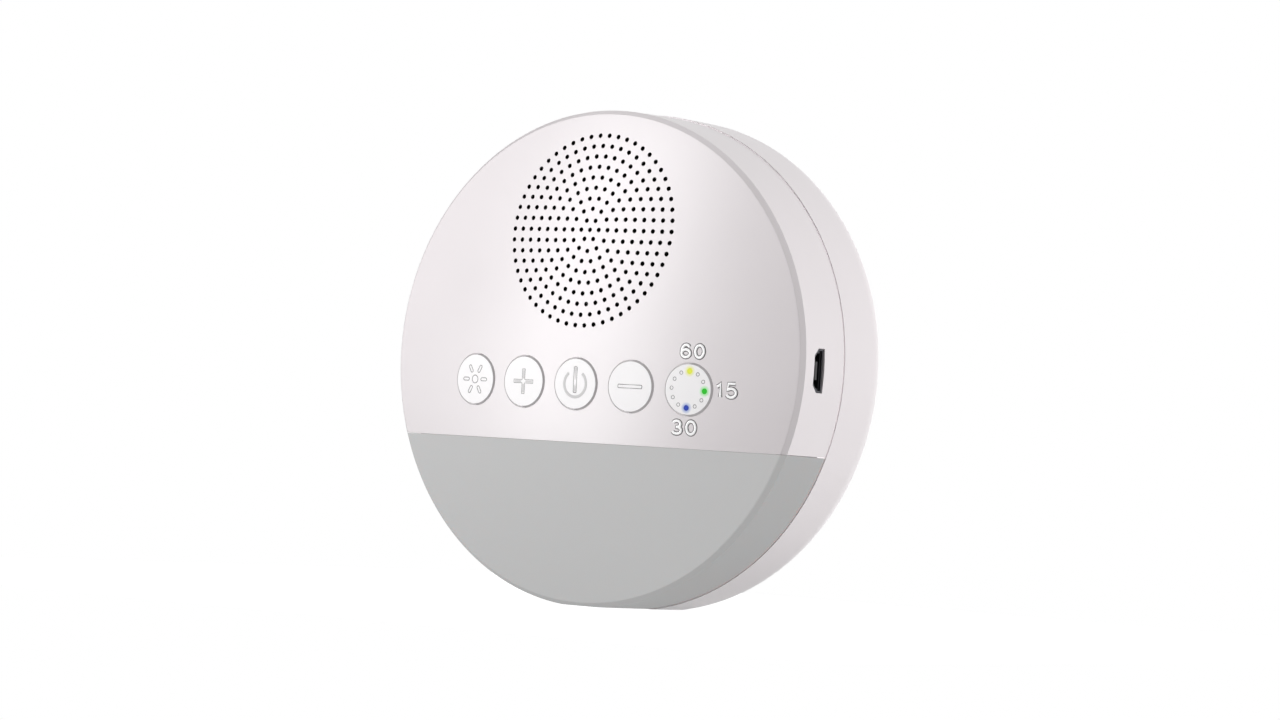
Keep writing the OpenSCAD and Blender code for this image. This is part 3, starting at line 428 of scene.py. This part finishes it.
def enamelled_copper():
    """Enamelled copper wire, 0.15 mm: turns laid side by side along the former."""
    material, tree, shader, place = base_finish("enamelled_copper", "#B4622F", 0.3,
                                                Metallic=1.0)
    turns = add(tree, "TexWave", {"Vector": place, "Scale": per_band(0.15)},
                bands_direction="Y")
    tones(tree, turns.outputs["Fac"], "#7C3B18", "#D07E43", shader)
    relief(tree, shader, turns.outputs["Fac"], 0.04)
    return material


def solder_mask(name, ground, track):
    """Solder mask over etched copper: glossy film with raised tracks 0.27 mm apart."""
    material, tree, shader, place = base_finish(name, ground, 0.28, IOR=1.5)
    field_mm, tracks_a_field, bare_share = 2.4, 9.0, 0.55
    fields = add(tree, "TexVoronoi", {"Vector": place, "Scale": per_mm(field_mm)},
                 distance="MANHATTAN", feature="F2")
    steps = add(tree, "Math", {0: fields.outputs["Distance"], 1: tracks_a_field},
                operation="MULTIPLY")
    tracks = add(tree, "Math", {0: steps.outputs[0]}, operation="FRACT")
    raised = add(tree, "Math", {0: tracks.outputs[0], 1: bare_share},
                 operation="GREATER_THAN")
    tones(tree, raised.outputs[0], ground, track, shader)
    relief(tree, shader, raised.outputs[0], 0.02, 0.05)
    return material


def moulded_black():
    """Black moulded epoxy and nylon: fine even texture, faint grey bloom."""
    material, tree, shader, place = base_finish("moulded_black", "#1D1D1E", 0.5, IOR=1.53)
    grain = add(tree, "TexNoise", {"Vector": place, "Scale": per_mm(0.12), "Detail": 3.0})
    tones(tree, grain.outputs["Fac"], "#171718", "#242426", shader)
    relief(tree, shader, grain.outputs["Fac"], 0.004, 0.06)
    return material


def phosphor_resin():
    """Silicone over phosphor: a yellow window in a white body."""
    material, tree, shader, place = base_finish("phosphor_resin", "#EFE3A0", 0.25, IOR=1.41)
    cloud = add(tree, "TexNoise", {"Vector": place, "Scale": per_mm(0.6), "Detail": 2.0})
    tones(tree, cloud.outputs["Fac"], "#E8D577", "#F6EFC8", shader)
    relief(tree, shader, cloud.outputs["Fac"], 0.01, 0.08)
    return material


def black_nickel():
    """Black nickel plate over folded steel: dark mirror with drawn lines along X."""
    material, tree, shader, place = base_finish("black_nickel", "#4C4C50", 0.34, Metallic=1.0)
    along = add(tree, "VectorMath", {0: place, 1: (0.08, 1.0, 1.0)}, operation="MULTIPLY")
    drawn = add(tree, "TexNoise", {"Vector": along.outputs[0], "Scale": per_mm(0.12),
                                   "Detail": 3.0})
    spread(tree, drawn.outputs["Fac"], 0.26, 0.44, shader.inputs["Roughness"])
    relief(tree, shader, drawn.outputs["Fac"], 0.002, 0.05)
    return material


def contact_gold():
    """Hard gold flash on spring bronze: warm, even and bright."""
    material, tree, shader, place = base_finish("contact_gold", "#D9B25A", 0.25, Metallic=1.0)
    wipe = add(tree, "TexNoise", {"Vector": place, "Scale": per_mm(0.3), "Detail": 3.0})
    spread(tree, wipe.outputs["Fac"], 0.2, 0.34, shader.inputs["Roughness"])
    relief(tree, shader, wipe.outputs["Fac"], 0.002, 0.04)
    return material


def drawn_can(name, colour):
    """A deep-drawn metal can: fine bright lines that the die leaves."""
    material, tree, shader, place = base_finish(name, colour, 0.3, Metallic=1.0)
    along = add(tree, "VectorMath", {0: place, 1: (1.0, 0.06, 1.0)}, operation="MULTIPLY")
    lines = add(tree, "TexNoise", {"Vector": along.outputs[0], "Scale": per_mm(0.2),
                                   "Detail": 3.0})
    spread(tree, lines.outputs["Fac"], 0.24, 0.4, shader.inputs["Roughness"])
    relief(tree, shader, lines.outputs["Fac"], 0.003, 0.1)
    return material


def natural_nylon():
    """Undyed nylon: ivory, half clear, slightly waxy."""
    material, tree, shader, place = base_finish(
        "natural_nylon", "#E9E2CC", 0.45, IOR=1.53, Subsurface_Weight=0.2,
        Subsurface_Scale=0.001)
    cloud = add(tree, "TexNoise", {"Vector": place, "Scale": per_mm(1.2), "Detail": 2.0})
    tones(tree, cloud.outputs["Fac"], "#E4DCC4", "#EEE8D6", shader)
    relief(tree, shader, cloud.outputs["Fac"], 0.003, 0.08)
    return material


def shrink_sleeve():
    """Heat-shrunk PVC: blue, glossy, with fine ripples where it drew in."""
    material, tree, shader, place = base_finish("shrink_sleeve", "#3C6DA3", 0.22, IOR=1.54)
    along = add(tree, "VectorMath", {0: place, 1: (0.3, 1.0, 1.0)}, operation="MULTIPLY")
    ripple = add(tree, "TexNoise", {"Vector": along.outputs[0], "Scale": per_mm(1.4),
                                    "Detail": 2.0})
    tones(tree, ripple.outputs["Fac"], "#37669A", "#4274AB", shader)
    relief(tree, shader, ripple.outputs["Fac"], 0.03)
    return material


def lead_pvc(name, colour, shade):
    """Extruded PVC insulation: even colour with a soft shine along its length."""
    material, tree, shader, place = base_finish(name, colour, 0.38, IOR=1.54)
    streak = add(tree, "TexNoise", {"Vector": place, "Scale": per_mm(0.7), "Detail": 2.0})
    tones(tree, streak.outputs["Fac"], shade, colour, shader)
    relief(tree, shader, streak.outputs["Fac"], 0.005)
    return material


def dress(material, *nodes):
    """Gives CAD nodes their finish."""
    for node in nodes:
        slots = NODES[node].data.materials
        slots.clear()
        slots.append(material)


def dress_the_frame():
    """Assigns a finish to every CAD node."""
    dress(shell_abs_painted_shade(), "front_shell")
    dress(gloss_abs()[0], "rear_cover")
    dress(milky_polycarbonate(), "light_diffuser")
    for key in PLAIN_KEYS:
        dress(key_abs(key, "key_abs_" + key)[0], key)
    dress(lit_key_abs(), "timer_key")
    for window, (core, rim) in LAMP_TONES.items():
        dress(lit_acrylic(window, core, rim), window)
    dress(zinc_steel(), "case_screws", "speaker_screws", "board_screws",
          "light_board_screws")
    dress(zinc_steel("pressed_steel", "#C9CACC", 0.42), "speaker_basket",
          "speaker_top_plate", "speaker_yoke", "switch_covers", "battery_tabs")
    dress(speaker_mesh(), "grille_cloth")
    dress(foam(), "speaker_gasket", "battery_pad")
    dress(ferrite(), "speaker_magnet")
    dress(dipped_cloth(), "speaker_spider")
    dress(moulded_rubber(), "speaker_surround")
    dress(pressed_paper(), "speaker_cone", "speaker_dust_cap")
    dress(enamelled_copper(), "voice_coil")
    dress(contact_gold(), "speaker_terminals", "usb_contacts")
    dress(solder_mask("green_mask", "#14512B", "#1E6B3A"), "main_board", "battery_board")
    dress(solder_mask("white_mask", "#ECECE8", "#F6F6F3"), "light_board")
    plungers = [key.replace("key", "plunger") for key in KEYS]
    dress(moulded_black(), *plungers, "switch_cases", "control_chips", "usb_tongue")
    dress(phosphor_resin(), "timer_leds", "light_board_leds")
    dress(black_nickel(), "usb_shell")
    dress(drawn_can("drawn_aluminium", "#D5D6D8"), "board_capacitors")
    dress(drawn_can("nickel_can", "#C2C1BE"), "battery_cell")
    dress(natural_nylon(), "lead_sockets", "lead_plugs")
    dress(shrink_sleeve(), "battery_sleeve")
    dress(lead_pvc("red_pvc", "#B3261E", "#9E1F18"), "speaker_leads", "battery_leads")
    dress(lead_pvc("white_pvc", "#E4E1D8", "#D8D4C9"), "light_leads")


# ---- Marks on the keys and the shell ----

# How far lines stand proud of their face, and how deep their roots sit in it.
MARK_RISE_MM = 0.02
NUMERAL_RISE_MM = 0.1
ROOT_MM = 0.06

# How wide they are.
LINE_MM = 0.16
RING_LINE_MM = 0.13
NUMERAL_EDGE_MM = 0.92
NUMERAL_MM = 0.54

# Two ends this close are one point.
SAME_POINT_MM = 1e-6


def arc(x, z, rx, rz, start, end, steps=24):
    """Points of an ellipse's arc, in millimetres, by its turns in degrees."""
    turns = [math.radians(start + (end - start) * i / steps) for i in range(steps + 1)]
    return [(x + rx * math.cos(t), z + rz * math.sin(t)) for t in turns]


def capsule(half_len, half_w, turn=0.0, offset=0.0):
    """A closed capsule outline that points outwards at a turn, offset from the middle."""
    straight = half_len - half_w
    points = (arc(offset + straight, 0, half_w, half_w, -90, 90, 10)
              + arc(offset - straight, 0, half_w, half_w, 90, 270, 10))
    c, s = math.cos(math.radians(turn)), math.sin(math.radians(turn))
    return [(x * c - z * s, x * s + z * c) for x, z in points]


def on_sphere(x, z, radius):
    """The y of a sphere round the dome's middle, at a point across the front."""
    dz = z - AXIS_Z
    return DOME_MIDDLE_Y - math.sqrt(radius * radius - x * x - dz * dz)


def stroke(name, path, closed, width_mm, rise_mm, centre, radius, material, body):
    """A flat raised line along a path, bent onto the dome or a key's face."""
    curve = bpy.data.curves.new(name, "CURVE")
    curve.dimensions = "3D"
    curve.bevel_depth = width_mm / 2
    curve.bevel_resolution = 3
    curve.use_fill_caps = True
    if closed and math.dist(path[0], path[-1]) < SAME_POINT_MM:
        path = path[:-1]
    spline = curve.splines.new("POLY")
    spline.points.add(len(path) - 1)
    for point, (x, z) in zip(spline.points, path):
        point.co = (x, 0, z, 1)
    spline.use_cyclic_u = closed
    holder = bpy.data.objects.new(name, curve)
    mesh = bpy.data.meshes.new_from_object(holder)
    bpy.data.objects.remove(holder)
    for vertex in mesh.vertices:
        x = centre[0] + vertex.co.x * MM
        z = centre[1] + vertex.co.z * MM
        share = vertex.co.y / (width_mm / 2)
        lift = rise_mm if share < 0 else ROOT_MM
        vertex.co = (x, on_sphere(x, z, radius) + share * lift * MM, z)
    mesh.materials.append(material)
    mesh.polygons.foreach_set("use_smooth", [True] * len(mesh.polygons))
    piece = bpy.data.objects.new(name, mesh)
    bpy.context.scene.collection.objects.link(piece)
    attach(piece, body)


def mark(name, path, key, line_shade, closed=True, width_mm=LINE_MM):
    """A grey line of painted shade on a key's face: closed outlines lie over the open, wide
    tints.
    """
    rise_mm = MARK_RISE_MM if closed else MARK_RISE_MM / 2
    stroke(name, path, closed, width_mm, rise_mm, middle(key), KEY_FACE_R, line_shade,
           key.replace("key", "button"))


def bar_outline(half_len, half_w, upright=False, shift=0.0):
    """A bar with slightly rounded corners, drawn as its outline."""
    r = 0.16
    points = []
    for turn, x, z in ((0, 1, 1), (90, -1, 1), (180, -1, -1), (270, 1, -1)):
        points += arc(x * (half_len - r), z * (half_w - r), r, r, turn, turn + 90, 4)
    if upright:
        return [(z, x + shift) for x, z in points]
    return points


def mark_light_key(line_shade):
    """A small sun: a ring and six rays."""
    ring_rx, ring_rz = 0.78, 0.8
    ray_half_len, ray_half_w, ray_out = 0.8, 0.31, 2.4
    mark("light_mark_ring", arc(0, 0, ring_rx, ring_rz, 0, 360), "light_key", line_shade)
    for i in range(6):
        mark(f"light_mark_ray_{i + 1}", capsule(ray_half_len, ray_half_w, 60 * i, ray_out),
             "light_key", line_shade)


def mark_volume_up_key(line_shade, tint):
    """A plus, drawn as its outline, with a pale tint in its arms."""
    reach, half_w = 2.45, 0.34
    tint_in, tint_out, tint_w = half_w + 0.2, reach - 0.25, 0.42
    corner = [(reach, -half_w), (reach, half_w), (half_w, half_w)]
    arms = ((1, 0), (0, 1), (-1, 0), (0, -1))
    path = [(x * c - z * s, x * s + z * c) for c, s in arms for x, z in corner]
    mark("volume_up_mark", path, "volume_up_key", line_shade)
    for i, (dx, dz) in enumerate(arms):
        arm = [(dx * r, dz * r) for r in (tint_in, tint_out)]
        mark(f"volume_up_tint_{i + 1}", arm, "volume_up_key", tint, False, tint_w)


def mark_power_key(line_shade, tint):
    """A soft ring that is open at the top, and an upright bar with a tinted middle."""
    ring_r, ring_from, ring_to, ring_w = 2.62, 128, 412, 0.62
    bar_half_len, bar_half_w, bar_up = 2.55, 0.36, 0.8
    tint_half_len, tint_w = 2.35, 0.46
    mark("power_mark_ring", arc(0, 0, ring_r, ring_r, ring_from, ring_to, 48), "power_key",
         tint, False, ring_w)
    mark("power_mark_bar", bar_outline(bar_half_len, bar_half_w, True, bar_up), "power_key",
         line_shade)
    mark("power_mark_bar_tint", [(0, bar_up - tint_half_len), (0, bar_up + tint_half_len)],
         "power_key", tint, False, tint_w)


def mark_volume_down_key(line_shade):
    """A minus, drawn as its outline."""
    half_len, half_w = 2.75, 0.34
    mark("volume_down_mark", bar_outline(half_len, half_w), "volume_down_key", line_shade)


def mark_timer_key(line_shade):
    """Nine small rings at a clock's other hours, the whole dial turned by 3 degrees."""
    ring_r, dot_r, first_turn = 3.6, 0.34, 87
    for hour in (1, 2, 4, 5, 7, 8, 9, 10, 11):
        turn = math.radians(first_turn - 30 * hour)
        x, z = ring_r * math.cos(turn), ring_r * math.sin(turn)
        mark(f"timer_mark_{hour}", arc(x, z, dot_r, dot_r, 0, 360, 16), "timer_key", line_shade,
             width_mm=RING_LINE_MM)


# Numerals as the middle line of their strokes, in a box of this half width and height.
DIGIT_W, DIGIT_H = 0.92, 1.2


def digit(character):
    """A numeral's paths, each with whether it closes."""
    w, h = DIGIT_W, DIGIT_H
    if character == "0":
        return [(arc(0, 0, w, h, 0, 360, 36), True)]
    if character == "1":
        return [([(-0.5 * w, 0.5 * h), (-0.1 * w, 0.66 * h), (0.2 * w, h), (0.2 * w, -h)],
                 False)]
    if character == "3":
        return [(arc(0, 0.5 * h, 0.85 * w, 0.5 * h, 160, -90, 24)
                 + arc(0, -0.47 * h, w, 0.53 * h, 90, -160, 28), False)]
    if character == "5":
        return [([(0.8 * w, h), (-0.62 * w, h), (-0.82 * w, 0.05 * h)]
                 + arc(-0.02 * w, -0.36 * h, w, 0.64 * h, 132, -155, 28), False)]
    return [(arc(0, 0, w, h, 40, 180, 18)
             + arc(0, -0.38 * h, w, 0.62 * h, 180, 540, 36), False)]


def number(text, centre, pitch_mm, size, outline, fill):
    """Two numerals side by side on the shell: a grey outline of painted shade under a white
    stroke.
    """
    for i, character in enumerate(text):
        shift = (i - 0.5) * pitch_mm * MM
        place = (centre[0] + shift, centre[1])
        for path, closed in digit(character):
            path = [(x * size, z * size) for x, z in path]
            name = f"numeral_{text}_{i + 1}"
            stroke(name + "_outline", path, closed, NUMERAL_EDGE_MM, MARK_RISE_MM, place,
                   DOME_R, outline, "root")
            stroke(name, path, closed, NUMERAL_MM, NUMERAL_RISE_MM, place, DOME_R, fill,
                   "root")


def mark_the_frame():
    """All marks: on the five keys and round the timer key."""
    # Painted shade: grey lines where the icons' engraved lines would hold shade.
    line_shade = painted_mark_shade()
    mark_light_key(line_shade)
    # Painted shade: a pale grey tint in the icons' wide strokes.
    tint = painted_mark_shade("mark_tint", "#D2D0D1", "#DAD8D9")
    mark_volume_up_key(line_shade, tint)
    mark_power_key(line_shade, tint)
    mark_volume_down_key(line_shade)
    mark_timer_key(line_shade)
    white = numeral_print_painted_glow()
    # Painted shade: a grey edge round the raised white numerals.
    edge = painted_mark_shade("numeral_edge", "#5E5B5C", "#6A6768")
    x, z = middle("timer_key")
    # Each number's place from the key's middle, its numerals' spacing and their size.
    for text, dx_mm, dz_mm, pitch_mm, size in (
            ("60", 0.38, 7.48, 2.95, 1.0), ("15", 7.85, 0.22, 2.5, 1.1),
            ("30", -0.75, -7.42, 3.1, 1.04)):
        number(text, (x + dx_mm * MM, z + dz_mm * MM), pitch_mm, size, edge, white)


# ---- Studio ----

def seen_by_camera(tree):
    """One for what the camera, mirrors and glass see, zero for the light on things."""
    path = add(tree, "LightPath")
    mirrors = add(tree, "Math", {0: path.outputs["Is Glossy Ray"],
                                 1: path.outputs["Is Transmission Ray"]},
                  operation="MAXIMUM")
    seen = add(tree, "Math", {0: path.outputs["Is Camera Ray"], 1: mirrors.outputs[0]},
               operation="MAXIMUM")
    return seen.outputs[0]


def studio_sky(ambient):
    """A white surround: plain soft light, seen as pure white."""
    world = bpy.data.worlds.new("studio")
    world.use_nodes = True
    bpy.context.scene.world = world
    tree = world.node_tree
    sky = tree.nodes["Background"]
    sky.inputs["Color"].default_value = (1, 1, 1, 1)
    spread(tree, seen_by_camera(tree), ambient, 1.0, sky.inputs["Strength"])


FLOOR_W = 0.28
# The floor's glow, beside the drum's foot and beyond, and where it changes.
FLOOR_GLOW_NEAR, FLOOR_GLOW_FAR = 0.88, 1.0
FLOOR_NEAR_R, FLOOR_FAR_R = 0.08, 0.13


def studio_floor():
    """A white table top that keeps the shadow round the drum's foot."""
    mesh = bpy.data.meshes.new("floor")
    half = FLOOR_W / 2
    mesh.from_pydata([(-half, -half, 0), (half, -half, 0), (half, half, 0),
                      (-half, half, 0)], [], [(0, 1, 2, 3)])
    floor = bpy.data.objects.new("floor", mesh)
    bpy.context.scene.collection.objects.link(floor)
    material, tree, shader, place = base_finish("floor_paper", "#CACACA", 0.9)
    tooth = add(tree, "TexNoise", {"Vector": place, "Scale": per_mm(1.5), "Detail": 2.0})
    relief(tree, shader, tooth.outputs["Fac"], 0.01)
    shader.inputs["Specular IOR Level"].default_value = 0.0
    shader.inputs["Emission Color"].default_value = (1, 1, 1, 1)
    away = add(tree, "VectorMath", {0: place}, operation="LENGTH")
    level = add(tree, "MapRange", {
        "Value": away.outputs["Value"], "From Min": FLOOR_NEAR_R, "From Max": FLOOR_FAR_R,
        "To Min": FLOOR_GLOW_NEAR, "To Max": FLOOR_GLOW_FAR})
    shown = add(tree, "Math", {0: seen_by_camera(tree), 1: level.outputs["Result"]},
                operation="MULTIPLY")
    tree.links.new(shown.outputs[0], shader.inputs["Emission Strength"])
    mesh.materials.append(material)


def soft_light(name, azimuth, elevation, distance, width, height, radiance, lean=0):
    """A rectangular softbox that faces the drum's middle, its top leaning by degrees."""
    lamp = bpy.data.lights.new(name, "AREA")
    lamp.shape = "RECTANGLE"
    lamp.size, lamp.size_y = width, height
    lamp.energy = radiance * math.pi * width * height
    holder = bpy.data.objects.new(name, lamp)
    a, e = math.radians(azimuth), math.radians(elevation)
    aim = Vector((0, 0, AXIS_Z))
    away = Vector((math.sin(a) * math.cos(e), -math.cos(a) * math.cos(e), math.sin(e)))
    holder.location = aim + away * distance
    facing = away.to_track_quat("Z", "Y").to_matrix()
    facing @= Matrix.Rotation(-math.radians(lean), 3, "Z")
    holder.rotation_euler = facing.to_euler()
    holder.visible_camera = False
    bpy.context.scene.collection.objects.link(holder)


def black_card(azimuth, distance, width, height):
    """A black card behind the drum that mirrors see: it draws a line round white edges."""
    mesh = bpy.data.meshes.new("black_card")
    w, h = width / 2, height / 2
    mesh.from_pydata([(-w, 0, -h), (w, 0, -h), (w, 0, h), (-w, 0, h)], [], [(0, 1, 2, 3)])
    card = bpy.data.objects.new("black_card", mesh)
    bpy.context.scene.collection.objects.link(card)
    a = math.radians(azimuth)
    card.location = Vector((math.sin(a), -math.cos(a), 0)) * distance
    card.rotation_euler = (0, 0, a)
    card.visible_camera = card.visible_diffuse = card.visible_shadow = False
    mesh.materials.append(base_finish("card_velvet", "#050505", 0.95)[0])


def studio_lights():
    """A tall softbox to the left with a weak fill, one to the right and one overhead."""
    soft_light("left_softbox", azimuth=-35, elevation=0, distance=1.2, width=0.45,
               height=1.4, radiance=7.4, lean=6)
    soft_light("left_fill", azimuth=-52, elevation=-10, distance=1.2, width=0.35,
               height=0.55, radiance=2.1)
    soft_light("right_softbox", azimuth=115, elevation=10, distance=1.4, width=0.6,
               height=1.0, radiance=8.7)
    soft_light("top_softbox", azimuth=-60, elevation=80, distance=1.5, width=1.0,
               height=1.0, radiance=0.85)


# ---- Camera ----

IMAGE_W = 1280
CAMERA_AZIMUTH, CAMERA_ELEVATION, CAMERA_ROLL = 35.03, -1.63, 3.71
# The camera's place, from the middle of the front rim.
CAMERA_AT = Vector((465.17, -648.49, -22.50)) * MM
FOCAL_PIXELS = 4011.7


def studio_camera():
    """The camera stands to the right, a little below the drum's axis."""
    data = bpy.data.cameras.new("camera")
    data.sensor_width = 36.0
    data.lens = data.sensor_width * FOCAL_PIXELS / IMAGE_W
    data.clip_start = 0.01
    camera = bpy.data.objects.new("camera", data)
    turn = (Matrix.Rotation(math.radians(CAMERA_AZIMUTH), 4, "Z")
            @ Matrix.Rotation(math.radians(90 - CAMERA_ELEVATION), 4, "X")
            @ Matrix.Rotation(math.radians(CAMERA_ROLL), 4, "Z"))
    at = CAMERA_AT + Vector((0, RIM_Y, AXIS_Z))
    camera.matrix_world = Matrix.Translation(at) @ turn
    bpy.context.scene.collection.objects.link(camera)
    bpy.context.scene.camera = camera


studio_camera()
dress_the_frame()
mark_the_frame()
studio_sky(ambient=0.21)
studio_floor()
studio_lights()
black_card(azimuth=-118, distance=0.9, width=0.85, height=1.8)
bpy.context.scene.view_settings.view_transform = "Standard"
